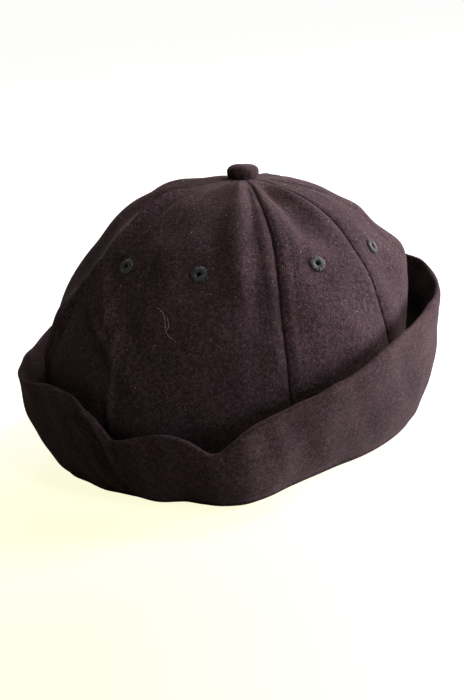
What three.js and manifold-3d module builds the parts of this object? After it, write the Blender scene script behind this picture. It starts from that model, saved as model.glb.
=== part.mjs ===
// A brimless wool sailor cap: eight crown panels under a covered button, and a turned-up cuff of two
// lengths of cloth, joined where they meet below seams 4 and 8 of the crown.
// Millimetres. +Z is up, the crown's front seam faces -Y and the folded rim lies on z = 0.
// An azimuth is in degrees, 0 at -Y and 90 at +X. A level runs down the crown: 0 at its top, 1 at the rim.

import * as THREE from "three";
import { mergeVertices } from "three/addons/utils/BufferGeometryUtils.js";
import Module from "manifold-3d";

const wasm = await Module();
wasm.setup();

// Crown
const CROWN_HALF_WIDTH = 105;
const CROWN_HALF_DEPTH = 101;
const CROWN_HEIGHT = 140;
const CROWN_POWER_OUT = 2.6;
const CROWN_POWER_UP = 2.05;
const CROWN_LEAN = 22;
const CROWN_LEAN_POWER = 1.7;
const CROWN_TILT = 6;
const CROWN_WALL = 1.8;
const CROWN_FOLD_HEIGHT = 5;
const TAPER_HEIGHT = 50;

// Seams between the panels
const SEAM_GAP = 0.36;
const SEAM_SINK = 0.8;
const SEAM_WIDTH = 0.06;
const SEAM_BEND_LEVEL = 0.55;
const SEAM_START_LEVEL = 0.25;
const SEAM_END_SPAN = 0.2;
const PANEL_SWELL = 0.8;

// Cuff, and the edge below the panels that it is folded from. The rim is tucked in below the crown.
const RIM_TUCK_WIDTH = 8;
const RIM_TUCK_DEPTH = 2.5;
const RIM_HALF_WIDTH = CROWN_HALF_WIDTH - RIM_TUCK_WIDTH;
const RIM_HALF_DEPTH = CROWN_HALF_DEPTH - RIM_TUCK_DEPTH;
const CUFF_HEIGHT = 55;
const CUFF_FLARE = 18;
const CUFF_BELLY = 5;
const CUFF_WALL = 3;
const CUFF_FOLD_OUT = 3;
const FOLD_SLOT = 1.2;
const LEG_WALL = 2.6;
const LEG_HEIGHT = 22;
const RIM_OUTER_ROUND = 2.4;
const RIM_INNER_ROUND = 1.6;
const SLOT_FLOOR = 3.6;
const EDGE_BULGE = 0.9;

// Button and eyelets
const CLEARANCE = 0.32;
const BUTTON_RADIUS = 8.6;
const BUTTON_HEIGHT = 7.2;
const BUTTON_POST_RADIUS = 1.1;
const EYELET_LEVEL = 0.55;
const EYELET_RADIUS = 4.5;
const EYELET_BORE_RADIUS = 1.2;
const EYELET_RISE = 1.1;
const BARREL_WALL = 0.9;
const BARREL_EXTRA = 0.3;

// Each seam's azimuth at the button, at the bend level and at the rim, and how far it stands off the
// cloth as a share of SEAM_SINK. Seam 1 is the front one, and seam 7 runs along a folded ridge.
const SEAMS = [
  { top: -3.5, middle: 1.5, low: 4, stand: -1 },
  { top: 30, middle: 41.5, low: 48, stand: -0.6 },
  { top: 56, middle: 73.5, low: 84, stand: -0.6 },
  { top: 116, middle: 124, low: 128, stand: -1 },
  { top: 166, middle: 174, low: 173, stand: -1 },
  { top: 220, middle: 228, low: 217, stand: -1 },
  { top: 278, middle: 286, low: 256, stand: 0.5 },
  { top: 318, middle: 310, low: 305, stand: -0.4 },
];

// Where each panel's eyelet sits across the panel, as a share of its width. Panel 1 is right of seam 1.
const EYELET_SHARES = [0.43, 0.36, 0.5, 0.5, 0.5, 0.3, 0.58, 0.41];

// The stitched ring keeps the cloth smooth round an eyelet, this far across the panel and down it.
const STIFF_SHARE = 0.16;
const STIFF_LEVEL = 0.07;

// Soft folds of the crown. Top and low are azimuths at level 0 and 1, widths are degrees, heights are
// shares of CROWN_FOLD_HEIGHT, and a fold runs between two levels and fades over a span of them.
const CROWN_FOLDS = [
  { top: -38, low: -15, width: 8, height: -0.45, from: 0.14, to: 0.62, fade: 0.1 },
  { top: -22, low: -7, width: 7, height: 0.35, from: 0.14, to: 0.6, fade: 0.1 },
  { top: -9, low: -5, width: 4, height: -0.25, from: 0.16, to: 0.8, fade: 0.1 },
  { top: 9, low: 41, width: 10, height: -0.7, from: 0.16, to: 0.55, fade: 0.12 },
  { top: 92, low: 92, width: 30, height: 2.6, from: 0.57, to: 0.7, fade: 0.2 },
  { top: 86, low: 82, width: 20, height: 0.68, from: 0.42, to: 0.51, fade: 0.15 },
  { top: 80, low: 80, width: 30, height: -1.1, from: 0.78, to: 0.95, fade: 0.12 },
  { top: -95, low: -95, width: 26, height: 0.55, from: 0.34, to: 0.8, fade: 0.2 },
  { top: -124, low: -118, width: 22, height: 0.78, from: 0.2, to: 0.44, fade: 0.2 },
  { top: -75, low: -72, width: 5, height: 0.62, from: 0.24, to: 0.61, fade: 0.14 },
  { top: -17, low: -115, width: 5, height: 0.62, from: 0.61, to: 0.84, fade: 0.14 },
  { top: -92, low: -84, width: 8, height: -0.7, from: 0.26, to: 0.62, fade: 0.14 },
  { top: -142, low: -17, width: 4, height: 0.45, from: 0.57, to: 0.73, fade: 0.08 },
  { top: -175, low: -12, width: 4, height: 0.4, from: 0.63, to: 0.78, fade: 0.08 },
  { top: 150, low: 138, width: 14, height: -0.5, from: 0.2, to: 0.7, fade: 0.15 },
  { top: 205, low: 190, width: 12, height: 0.4, from: 0.3, to: 0.8, fade: 0.15 },
  { top: 246, low: 240, width: 12, height: -0.5, from: 0.2, to: 0.75, fade: 0.15 },
];

// The cuff round the cap. Rim is a share of the rim's own outline, flare of CUFF_FLARE, height of
// CUFF_HEIGHT and belly of CUFF_BELLY.
const CUFF_SECTIONS = [
  { azimuth: -180, rim: 1.0, flare: 1.08, height: 1.13, belly: 1.0 },
  { azimuth: -150, rim: 1.0, flare: 0.97, height: 1.09, belly: 0.9 },
  { azimuth: -131, rim: 1.0, flare: 0.86, height: 1.06, belly: 1.0 },
  { azimuth: -114, rim: 1.0, flare: 0.93, height: 0.97, belly: 1.2 },
  { azimuth: -95, rim: 1.0, flare: 0.95, height: 0.98, belly: 1.2 },
  { azimuth: -80, rim: 1.01, flare: 0.86, height: 1.02, belly: 1.1 },
  { azimuth: -68, rim: 0.985, flare: 0.72, height: 1.05, belly: 1.0 },
  { azimuth: -60, rim: 0.99, flare: 0.67, height: 0.98, belly: 0.8 },
  { azimuth: -53, rim: 0.98, flare: 0.63, height: 0.87, belly: 0.6 },
  { azimuth: -47, rim: 0.983, flare: 0.57, height: 0.61, belly: 0.6 },
  { azimuth: -37, rim: 1.015, flare: 0.56, height: 0.67, belly: 0.7 },
  { azimuth: -30, rim: 1.0, flare: 0.84, height: 0.73, belly: 0.6 },
  { azimuth: -24, rim: 1.035, flare: 0.7, height: 0.67, belly: 0.6 },
  { azimuth: -18, rim: 1.075, flare: 0.58, height: 0.55, belly: 0.7 },
  { azimuth: -13, rim: 1.085, flare: 0.56, height: 0.63, belly: 0.7 },
  { azimuth: -7, rim: 1.05, flare: 0.64, height: 0.75, belly: 0.7 },
  { azimuth: 3, rim: 0.96, flare: 0.97, height: 0.84, belly: 0.7 },
  { azimuth: 12, rim: 0.92, flare: 1.17, height: 0.9, belly: 0.8 },
  { azimuth: 21, rim: 0.905, flare: 1.25, height: 0.97, belly: 0.9 },
  { azimuth: 33, rim: 0.93, flare: 1.14, height: 1.07, belly: 1.0 },
  { azimuth: 44, rim: 0.956, flare: 1.03, height: 1.14, belly: 1.1 },
  { azimuth: 55, rim: 0.985, flare: 1.06, height: 1.2, belly: 1.1 },
  { azimuth: 66, rim: 1.013, flare: 1.14, height: 1.24, belly: 1.1 },
  { azimuth: 80, rim: 1.02, flare: 1.25, height: 1.28, belly: 1.1 },
  { azimuth: 95, rim: 1.02, flare: 1.33, height: 1.37, belly: 1.1 },
  { azimuth: 115, rim: 1.012, flare: 1.28, height: 1.34, belly: 1.0 },
  { azimuth: 140, rim: 1.006, flare: 1.2, height: 1.22, belly: 1.0 },
];

// Creases that run up the cuff's face, from the rim to its edge. Out is a share of CUFF_FOLD_OUT.
const CUFF_CREASES = [
  { low: -43, high: -54, width: 3, out: 0.9 },
  { low: -50, high: -61, width: 3.5, out: -0.6 },
  { low: -60, high: -68, width: 4, out: 0.5 },
];

// Each length of the cuff, as spans of sections that are closer together where it is creased.
const CUFF_LENGTHS = {
  cuff_right: [
    { from: -55, to: -6, count: 21 },
    { from: -6, to: 66, count: 16 },
    { from: 66, to: 128, count: 10 },
  ],
  cuff_left: [
    { from: 128, to: 294, count: 26 },
    { from: 294, to: 305, count: 5 },
  ],
};

// Levels of a panel's rows between its tip and its foot, and places of its columns across it.
const PANEL_LEVELS = [0.08, 0.15, 0.23, 0.31, 0.39, 0.47, 0.55, 0.61, 0.68, 0.75, 0.82, 0.87];
const PANEL_SHARES = [0, 0.06, 0.18, 0.34, 0.5, 0.66, 0.82, 0.94, 1];
const TIP_RADIUS = BUTTON_POST_RADIUS + CLEARANCE;

// Where the points of a cuff section lie: up its outer face, back down its inner one and up its leg.
const FACE_RISES = [0, 0.16, 0.34, 0.55, 0.78, 0.95];
const INSIDE_RISES = [0.95, 0.7, 0.42, 0.18];
const LEG_SHARES = [0.25, 0.6, 1];

// Outline of the button above the cloth and of an eyelet's ring, as shares of their radius and height.
const BUTTON_OUTLINE = [
  { out: 0.94, height: 0 },
  { out: 1, height: 0.18 },
  { out: 0.99, height: 0.45 },
  { out: 0.87, height: 0.76 },
  { out: 0.55, height: 0.95 },
  { out: 0, height: 1 },
];
const EYELET_OUTLINE = [
  { out: 0.96, height: 0 },
  { out: 1, height: 0.35 },
  { out: 0.8, height: 0.9 },
  { out: 0.45, height: 1 },
];
const EYELET_BORE_DIP = 0.6;
const BUTTON_SIDES = 24;
const EYELET_SIDES = 16;
const DRILL_SIDES = 16;
const DRILL_LENGTH = 11;

// The bottom of the pocket between cuff and leg, as shares of the way from the leg to the cuff.
const SLOT_SHARES = [0.8, 0.2];

// Small steps over which a surface's own direction is taken.
const AZIMUTH_STEP = 1;
const LEVEL_STEP = 0.01;
const RISE_STEP = 0.02;
const EYELET_STEP = 0.03;

const radians = THREE.MathUtils.degToRad;
const smooth = (value) => THREE.MathUtils.smoothstep(value, 0, 1);
const mix = THREE.MathUtils.lerp;

// A smooth hump of height 1 and the given half width.
function hump(distance, width) {
  return Math.exp(-((distance / width) ** 2));
}

// The smaller way round from one azimuth to another, in degrees.
function turn(degrees) {
  return THREE.MathUtils.euclideanModulo(degrees + 180, 360) - 180;
}

// The radius of an ellipse at an azimuth.
function ellipseRadius(azimuth, halfWidth, halfDepth) {
  const angle = radians(azimuth);
  return 1 / Math.hypot(Math.sin(angle) / halfWidth, Math.cos(angle) / halfDepth);
}

// One column of the cuff's sections at an azimuth: a smooth closed curve that never overshoots its rows.
function cuffValue(column, azimuth) {
  const count = CUFF_SECTIONS.length;
  const at = (index) => {
    const lap = Math.floor(index / count);
    const row = CUFF_SECTIONS[index - lap * count];
    return { x: row.azimuth + lap * 360, y: row[column] };
  };
  const slope = (index) => {
    const [a, b, c] = [at(index - 1), at(index), at(index + 1)];
    const before = (b.y - a.y) / (b.x - a.x);
    const after = (c.y - b.y) / (c.x - b.x);
    if (before * after <= 0) return 0;
    return (c.x - a.x) / ((b.x - a.x) / before + (c.x - b.x) / after);
  };
  const first = CUFF_SECTIONS[0].azimuth;
  const angle = THREE.MathUtils.euclideanModulo(azimuth - first, 360) + first;
  let index = 0;
  while (at(index + 1).x <= angle) index += 1;
  const [start, end] = [at(index), at(index + 1)];
  const span = end.x - start.x;
  const t = (angle - start.x) / span;
  const rise = (2 * t ** 3 - 3 * t ** 2 + 1) * start.y + (3 * t ** 2 - 2 * t ** 3) * end.y;
  const lean = (t ** 3 - 2 * t ** 2 + t) * slope(index) + (t ** 3 - t ** 2) * slope(index + 1);
  return rise + lean * span;
}

function rimRadius(azimuth) {
  return ellipseRadius(azimuth, RIM_HALF_WIDTH, RIM_HALF_DEPTH) * cuffValue("rim", azimuth);
}

// The level at which the upright crown would be at this height.
function levelAt(height) {
  const angle = Math.acos((height / CROWN_HEIGHT) ** (CROWN_POWER_UP / 2));
  return (angle / (Math.PI / 2)) ** (2 / CROWN_POWER_OUT);
}

// The crown without seams or folds: a leaning, tilted dome that tapers into the rim's outline.
function smoothCrown(azimuth, level) {
  const angle = radians(azimuth);
  const profile = (Math.PI / 2) * level ** (CROWN_POWER_OUT / 2);
  const out = Math.max(Math.sin(profile), 0) ** (2 / CROWN_POWER_OUT);
  const up = Math.max(Math.cos(profile), 0) ** (2 / CROWN_POWER_UP);
  const radius = ellipseRadius(azimuth, CROWN_HALF_WIDTH, CROWN_HALF_DEPTH) * out;
  const height = CROWN_HEIGHT * up;
  const tiltDrop = radius * Math.sin(angle) * Math.tan(radians(CROWN_TILT)) * up;
  const lean = CROWN_LEAN * up ** CROWN_LEAN_POWER;
  const dome = new THREE.Vector3(radius * Math.sin(angle) + lean, -radius * Math.cos(angle), height - tiltDrop);
  const legRadius = rimRadius(azimuth) - CUFF_WALL - FOLD_SLOT;
  const leg = new THREE.Vector3(legRadius * Math.sin(angle), -legRadius * Math.cos(angle), dome.z);
  return dome.lerp(leg, 1 - smooth(height / TAPER_HEIGHT));
}

// The outward normal of the smooth crown.
function crownNormal(azimuth, level) {
  const across = smoothCrown(azimuth + AZIMUTH_STEP, level).sub(smoothCrown(azimuth - AZIMUTH_STEP, level));
  const above = smoothCrown(azimuth, Math.max(level - LEVEL_STEP, 0));
  const down = smoothCrown(azimuth, level + LEVEL_STEP).sub(above);
  return down.cross(across).normalize();
}

function seamAzimuth(index, level) {
  const seam = SEAMS[index % SEAMS.length];
  const lap = 360 * Math.floor(index / SEAMS.length);
  if (level < SEAM_BEND_LEVEL) return lap + mix(seam.top, seam.middle, smooth(level / SEAM_BEND_LEVEL));
  return lap + mix(seam.middle, seam.low, smooth((level - SEAM_BEND_LEVEL) / (1 - SEAM_BEND_LEVEL)));
}

// The azimuth a share of the way across a panel. Seam azimuths always grow from one seam to the next.
function panelAzimuth(panel, share, level) {
  const left = seamAzimuth(panel, level);
  const right = left + THREE.MathUtils.euclideanModulo(seamAzimuth(panel + 1, level) - left, 360);
  return mix(left, right, share);
}

// The crown's soft folds at a point.
function foldRise(azimuth, level) {
  let rise = 0;
  for (const fold of CROWN_FOLDS) {
    const centre = mix(fold.top, fold.low, level);
    const start = smooth((level - fold.from) / fold.fade + 0.5);
    const end = smooth((fold.to - level) / fold.fade + 0.5);
    rise += CROWN_FOLD_HEIGHT * fold.height * hump(turn(azimuth - centre), fold.width) * start * end;
  }
  return rise;
}

// How far a panel's cloth stands off the smooth crown.
function panelRise(panel, share, azimuth, level) {
  const endFade = smooth(level / SEAM_START_LEVEL) * smooth((1 - level) / SEAM_END_SPAN);
  const leftStand = SEAMS[panel].stand * hump(share, SEAM_WIDTH);
  const rightStand = SEAMS[(panel + 1) % SEAMS.length].stand * hump(1 - share, SEAM_WIDTH);
  const pillow = PANEL_SWELL * Math.sin(Math.PI * share) + SEAM_SINK * (leftStand + rightStand);
  const eyeletShare = EYELET_SHARES[panel];
  const stiff = hump(share - eyeletShare, STIFF_SHARE) * hump(level - EYELET_LEVEL, STIFF_LEVEL);
  const eyeletFolds = foldRise(panelAzimuth(panel, eyeletShare, EYELET_LEVEL), EYELET_LEVEL);
  return (pillow + mix(foldRise(azimuth, level), eyeletFolds, stiff)) * endFade;
}

// A point of a panel's cloth at a depth below its outer face.
function panelPoint(panel, share, level, depth) {
  let azimuth = panelAzimuth(panel, share, level);
  const plainRadius = ellipseRadius(azimuth, CROWN_HALF_WIDTH, CROWN_HALF_DEPTH) * level;
  const halfGap = THREE.MathUtils.radToDeg(SEAM_GAP / 2 / plainRadius);
  azimuth += halfGap * (1 - 2 * share);
  const rise = panelRise(panel, share, azimuth, level) - depth;
  return smoothCrown(azimuth, level).addScaledVector(crownNormal(azimuth, level), rise);
}

// Skins a run of loops of points, each joined to the next, and closes the run with a cap at each end.
// The cap is a list of triangles between a loop's points.
function loopsToGeometry(loops, cap) {
  const size = loops[0].length;
  const positions = loops.flatMap((loop) => loop.flatMap((point) => point.toArray()));
  const last = (loops.length - 1) * size;
  const index = [];
  for (let here = 0; here < last; here += size) {
    const next = here + size;
    for (let j = 0; j < size; j += 1) {
      const k = (j + 1) % size;
      index.push(here + j, next + j, next + k, here + j, next + k, here + k);
    }
  }
  for (const [a, b, c] of cap) {
    index.push(a, b, c, last + a, last + c, last + b);
  }
  return indexedGeometry(positions, index);
}

function indexedGeometry(positions, index) {
  const geometry = new THREE.BufferGeometry();
  geometry.setAttribute("position", new THREE.Float32BufferAttribute(positions, 3));
  geometry.setIndex(index);
  return geometry;
}

// A panel: rows of points on its outer and inner face, closed round its four edges.
function panelGeometry(panel) {
  const tip = TIP_RADIUS / Math.min(CROWN_HALF_WIDTH, CROWN_HALF_DEPTH);
  const foot = levelAt(LEG_HEIGHT + CLEARANCE);
  const levels = [tip, ...PANEL_LEVELS, foot];
  const loops = levels.map((level) => {
    const outer = PANEL_SHARES.map((share) => panelPoint(panel, share, level, 0));
    const inner = PANEL_SHARES.map((share) => panelPoint(panel, share, level, CROWN_WALL));
    return [...outer, ...inner.reverse()];
  });
  const end = loops[0].length - 1;
  const cap = PANEL_SHARES.slice(1).flatMap((_, j) => [
    [j, j + 1, end - j - 1],
    [j, end - j - 1, end - j],
  ]);
  return loopsToGeometry(loops, cap);
}

// The cuff's outer face at an azimuth, as distance out and height: rise is 0 at the rim and 1 at the edge.
function cuffFace(azimuth, rise) {
  const start = rimRadius(azimuth);
  const flare = CUFF_FLARE * cuffValue("flare", azimuth) * rise;
  const belly = CUFF_BELLY * cuffValue("belly", azimuth) * Math.sin(Math.PI * rise ** 0.7);
  let crease = 0;
  for (const fold of CUFF_CREASES) {
    const centre = mix(fold.low, fold.high, rise);
    crease += CUFF_FOLD_OUT * fold.out * hump(turn(azimuth - centre), fold.width) * mix(0.4, 1, rise);
  }
  const base = RIM_OUTER_ROUND;
  const height = base + (CUFF_HEIGHT * cuffValue("height", azimuth) - base) * rise;
  return new THREE.Vector2(start + flare + belly + crease, height);
}

// The same face at a depth into the cloth.
function cuffInside(azimuth, rise, depth) {
  const below = cuffFace(azimuth, Math.max(rise - RISE_STEP, 0));
  const along = cuffFace(azimuth, Math.min(rise + RISE_STEP, 1)).sub(below);
  const inward = new THREE.Vector2(-along.y, along.x).normalize();
  return cuffFace(azimuth, rise).addScaledVector(inward, depth);
}

// One section of the cuff, a loop that starts at the rim, goes up the outer face and back down the
// inner one, and then round the leg that stands inside it and carries the panels.
function cuffSection(azimuth) {
  const angle = radians(azimuth);
  const place = (out, height) => new THREE.Vector3(out * Math.sin(angle), -out * Math.cos(angle), height);
  const rim = rimRadius(azimuth);
  const cut = 1 - Math.SQRT1_2;
  const edge = cuffInside(azimuth, 1, CUFF_WALL / 2);
  const face = FACE_RISES.map((rise) => cuffFace(azimuth, rise));
  const inside = INSIDE_RISES.map((rise) => cuffInside(azimuth, rise, CUFF_WALL));
  const legOutside = rim - CUFF_WALL - FOLD_SLOT;
  const legInside = legOutside - LEG_WALL;
  const leg = LEG_SHARES.map((share) => {
    const level = levelAt(mix(CUFF_WALL, LEG_HEIGHT, share));
    const outer = smoothCrown(azimuth, level);
    const inner = outer.clone().sub(place(LEG_WALL, 0));
    return { outer, inner };
  });
  return [
    place(rim - RIM_OUTER_ROUND, 0),
    place(rim - RIM_OUTER_ROUND * cut, RIM_OUTER_ROUND * cut),
    ...face.map((point) => place(point.x, point.y)),
    place(edge.x, edge.y + EDGE_BULGE),
    ...inside.map((point) => place(point.x, point.y)),
    ...SLOT_SHARES.map((share) => place(mix(legOutside, rim - CUFF_WALL, share), SLOT_FLOOR)),
    ...leg.map((point) => point.outer),
    ...leg.map((point) => point.inner).reverse(),
    place(legInside, RIM_INNER_ROUND),
    place(legInside + RIM_INNER_ROUND, 0),
  ];
}

// One length of the cuff. It stops half of SEAM_GAP short of each end.
function cuffGeometry(spans) {
  const azimuths = spans.flatMap((span) => {
    const step = (span.to - span.from) / span.count;
    return Array.from({ length: span.count }, (_, i) => span.from + i * step);
  });
  const halfGap = THREE.MathUtils.radToDeg(SEAM_GAP / 2 / RIM_HALF_WIDTH);
  azimuths[0] += halfGap;
  azimuths.push(spans.at(-1).to - halfGap);
  const loops = azimuths.map(cuffSection);
  const flat = loops[0].map((point) => new THREE.Vector2(Math.hypot(point.x, point.y), point.z));
  return loopsToGeometry(loops, THREE.ShapeUtils.triangulateShape(flat, []));
}

// A turned piece with its axis along +Z, from a profile of radii and heights.
function turnedGeometry(profile, sides) {
  const points = profile.map((point) => new THREE.Vector2(point.radius, point.height));
  const geometry = new THREE.LatheGeometry(points, sides);
  geometry.rotateX(Math.PI / 2);
  return geometry;
}

function buttonGeometry() {
  const post = -CROWN_WALL - 2 * CLEARANCE;
  return turnedGeometry([
    { radius: 0, height: post },
    { radius: BUTTON_POST_RADIUS, height: post },
    { radius: BUTTON_POST_RADIUS, height: 0 },
    ...BUTTON_OUTLINE.map((row) => ({ radius: BUTTON_RADIUS * row.out, height: BUTTON_HEIGHT * row.height })),
  ], BUTTON_SIDES);
}

// An embroidered eyelet: a ring on the cloth with a barrel of thread through the hole.
function eyeletGeometry(depth) {
  const barrel = EYELET_BORE_RADIUS + BARREL_WALL;
  return turnedGeometry([
    { radius: EYELET_BORE_RADIUS, height: -depth },
    { radius: barrel, height: -depth },
    { radius: barrel, height: 0 },
    ...EYELET_OUTLINE.map((row) => ({ radius: EYELET_RADIUS * row.out, height: EYELET_RISE * row.height })),
    { radius: EYELET_BORE_RADIUS, height: EYELET_RISE * EYELET_BORE_DIP },
    { radius: EYELET_BORE_RADIUS, height: -depth },
  ], EYELET_SIDES);
}

function toSolid(geometry) {
  const bare = geometry.clone();
  bare.deleteAttribute("normal");
  bare.deleteAttribute("uv");
  const merged = mergeVertices(bare, 1e-4);
  return new wasm.Manifold(new wasm.Mesh({
    numProp: 3,
    vertProperties: new Float32Array(merged.attributes.position.array),
    triVerts: new Uint32Array(merged.index.array),
  }));
}

function fromSolid(solid) {
  const mesh = solid.getMesh();
  return indexedGeometry(Array.from(mesh.vertProperties), Array.from(mesh.triVerts));
}

function facetedMesh(name, geometry, material) {
  const faceted = geometry.index ? geometry.toNonIndexed() : geometry;
  faceted.computeVertexNormals();
  const mesh = new THREE.Mesh(faceted, material);
  mesh.name = name;
  return mesh;
}

// Where a panel's eyelet sits: the point of the cloth below its middle and the way it faces.
function eyeletPlace(panel) {
  const share = EYELET_SHARES[panel];
  const at = (across, down) => panelPoint(panel, share + across, EYELET_LEVEL + down, 0);
  const across = at(EYELET_STEP, 0).sub(at(-EYELET_STEP, 0));
  const down = at(0, EYELET_STEP).sub(at(0, -EYELET_STEP));
  const normal = down.cross(across).normalize();
  const turned = new THREE.Quaternion().setFromUnitVectors(new THREE.Vector3(0, 0, 1), normal);
  return { centre: at(0, 0), normal, turned };
}

// The height of the highest cloth below an eyelet's ring, over the point it sits on.
function clothBelowRing(cloth, place) {
  const start = 2 * EYELET_RADIUS;
  const down = place.normal.clone().negate();
  let highest = 0;
  for (const radius of [EYELET_RADIUS / 2, EYELET_RADIUS]) {
    for (let side = 0; side < EYELET_SIDES; side += 1) {
      const angle = (2 * Math.PI * side) / EYELET_SIDES;
      const from = new THREE.Vector3(radius * Math.cos(angle), radius * Math.sin(angle), start);
      from.applyQuaternion(place.turned).add(place.centre);
      const [hit] = new THREE.Raycaster(from, down).intersectObject(cloth);
      if (hit) highest = Math.max(highest, start - hit.distance);
    }
  }
  return highest;
}

const wool = new THREE.MeshStandardMaterial({ color: 0x2b262c, roughness: 0.95, metalness: 0 });
const cuffWool = new THREE.MeshStandardMaterial({ color: 0x302a30, roughness: 0.95, metalness: 0 });
const buttonWool = new THREE.MeshStandardMaterial({ color: 0x272229, roughness: 0.95, metalness: 0 });
const eyeletThread = new THREE.MeshStandardMaterial({ color: 0x33403f, roughness: 0.7, metalness: 0 });

const cap = new THREE.Group();

for (let panel = 0; panel < SEAMS.length; panel += 1) {
  const place = eyeletPlace(panel);
  const cloth = panelGeometry(panel);
  const lift = clothBelowRing(new THREE.Mesh(cloth), place) + CLEARANCE;
  const eyelet = facetedMesh(`eyelet_${panel + 1}`, eyeletGeometry(lift + CROWN_WALL + BARREL_EXTRA), eyeletThread);
  eyelet.position.copy(place.centre).addScaledVector(place.normal, lift);
  eyelet.quaternion.copy(place.turned);

  const holeRadius = EYELET_BORE_RADIUS + BARREL_WALL + CLEARANCE;
  const drill = new THREE.CylinderGeometry(holeRadius, holeRadius, DRILL_LENGTH, DRILL_SIDES);
  drill.rotateX(Math.PI / 2);
  drill.applyQuaternion(place.turned);
  drill.translate(place.centre.x, place.centre.y, place.centre.z);
  const cut = toSolid(cloth).subtract(toSolid(drill));
  cap.add(facetedMesh(`crown_panel_${panel + 1}`, fromSolid(cut), wool), eyelet);
}

for (const [name, spans] of Object.entries(CUFF_LENGTHS)) {
  cap.add(facetedMesh(name, cuffGeometry(spans), cuffWool));
}

const button = facetedMesh("top_button", buttonGeometry(), buttonWool);
const buttonNormal = new THREE.Vector3(Math.sin(radians(CROWN_TILT)), 0, Math.cos(radians(CROWN_TILT)));
button.position.set(CROWN_LEAN, 0, CROWN_HEIGHT).addScaledVector(buttonNormal, CLEARANCE);
button.rotation.y = radians(CROWN_TILT);
cap.add(button);

// The origin is the middle of the cap's box, on the surface that the rim rests on.
const box = new THREE.Box3().setFromObject(cap);
const middle = box.getCenter(new THREE.Vector3());
cap.position.set(-middle.x, -middle.y, -box.min.z);

export default cap;
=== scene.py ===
"""A brimless wool sailor cap: its cloth, seams, air holes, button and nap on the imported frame.

Sizes are in millimetres until a mesh is made. An azimuth is in degrees, 0 at -Y and 90 at +X. A level
runs down the crown, 0 at its top and 1 at the rim. A rise runs up the cuff, 0 at the rim and 1 at its edge.
"""

from collections import namedtuple

import bpy
import numpy as np
from mathutils import Matrix, Vector


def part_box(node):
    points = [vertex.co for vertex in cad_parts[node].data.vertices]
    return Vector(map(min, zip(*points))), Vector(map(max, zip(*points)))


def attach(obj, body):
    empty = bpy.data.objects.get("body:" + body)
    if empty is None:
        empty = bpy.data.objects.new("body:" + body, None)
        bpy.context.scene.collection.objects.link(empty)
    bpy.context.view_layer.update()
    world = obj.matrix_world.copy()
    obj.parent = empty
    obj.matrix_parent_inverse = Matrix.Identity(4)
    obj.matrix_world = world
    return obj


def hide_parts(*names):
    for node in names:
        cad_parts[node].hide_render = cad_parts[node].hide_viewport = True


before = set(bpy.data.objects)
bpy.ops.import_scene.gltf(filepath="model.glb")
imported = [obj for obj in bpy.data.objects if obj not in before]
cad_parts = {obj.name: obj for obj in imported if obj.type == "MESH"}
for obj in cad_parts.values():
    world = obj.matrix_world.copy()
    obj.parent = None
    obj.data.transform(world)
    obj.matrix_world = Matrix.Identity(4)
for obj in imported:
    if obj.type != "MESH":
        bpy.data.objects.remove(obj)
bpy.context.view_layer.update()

MM = 0.001

# Crown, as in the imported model
CROWN_HALF_WIDTH = 105
CROWN_HALF_DEPTH = 101
CROWN_HEIGHT = 140
CROWN_POWER_OUT = 2.6
CROWN_POWER_UP = 2.05
CROWN_LEAN = 22
CROWN_LEAN_POWER = 1.7
CROWN_TILT = 6
CROWN_WALL = 1.8
CROWN_FOLD_HEIGHT = 5
TAPER_HEIGHT = 50

# Seams between the panels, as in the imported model
SEAM_SINK = 0.8
SEAM_WIDTH = 0.06
SEAM_BEND_LEVEL = 0.55
SEAM_START_LEVEL = 0.25
SEAM_END_SPAN = 0.2
PANEL_SWELL = 0.8

# Cuff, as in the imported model. BELLY_POWER moves the belly down the face, and CREASE_FOOT is the share of a
# crease's depth that is there at the rim
RIM_TUCK_WIDTH = 8
RIM_TUCK_DEPTH = 2.5
RIM_HALF_WIDTH = CROWN_HALF_WIDTH - RIM_TUCK_WIDTH
RIM_HALF_DEPTH = CROWN_HALF_DEPTH - RIM_TUCK_DEPTH
CUFF_HEIGHT = 55
CUFF_FLARE = 18
CUFF_BELLY = 5
CUFF_WALL = 3
CUFF_FOLD_OUT = 3
FOLD_SLOT = 1.2
LEG_WALL = 2.6
LEG_HEIGHT = 22
RIM_OUTER_ROUND = 2.4
RIM_INNER_ROUND = 1.6
SLOT_FLOOR = 3.6
BELLY_POWER = 0.7
CREASE_FOOT = 0.4
LEG_OUTER_FOOT = 5
LEG_INNER_FOOT = 4

CUFF_NODES = ("cuff_right", "cuff_left")

# Button and eyelets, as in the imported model, but the button's underside reaches BUTTON_SEAT lower. Its
# outline is a dome for a share of BUTTON_DOME and is drawn in below its waist
CLEARANCE = 0.32
BUTTON_RADIUS = 8.6
BUTTON_HEIGHT = 7.2
BUTTON_SEAT = 0.34
BUTTON_DOME = 0.72
BUTTON_WAIST = 0.42
BUTTON_DRAW_IN = 0.1
BUTTON_RUFFLE = 0.07
BUTTON_DENT = 0.15
EYELET_LEVEL = 0.55
EYELET_RADIUS = 4.5
EYELET_BORE_RADIUS = 1.2
EYELET_RISE = 1.1
STIFF_SHARE = 0.16
STIFF_LEVEL = 0.07
EYELET_SHARES = (0.43, 0.36, 0.5, 0.5, 0.5, 0.3, 0.58, 0.41)

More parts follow.
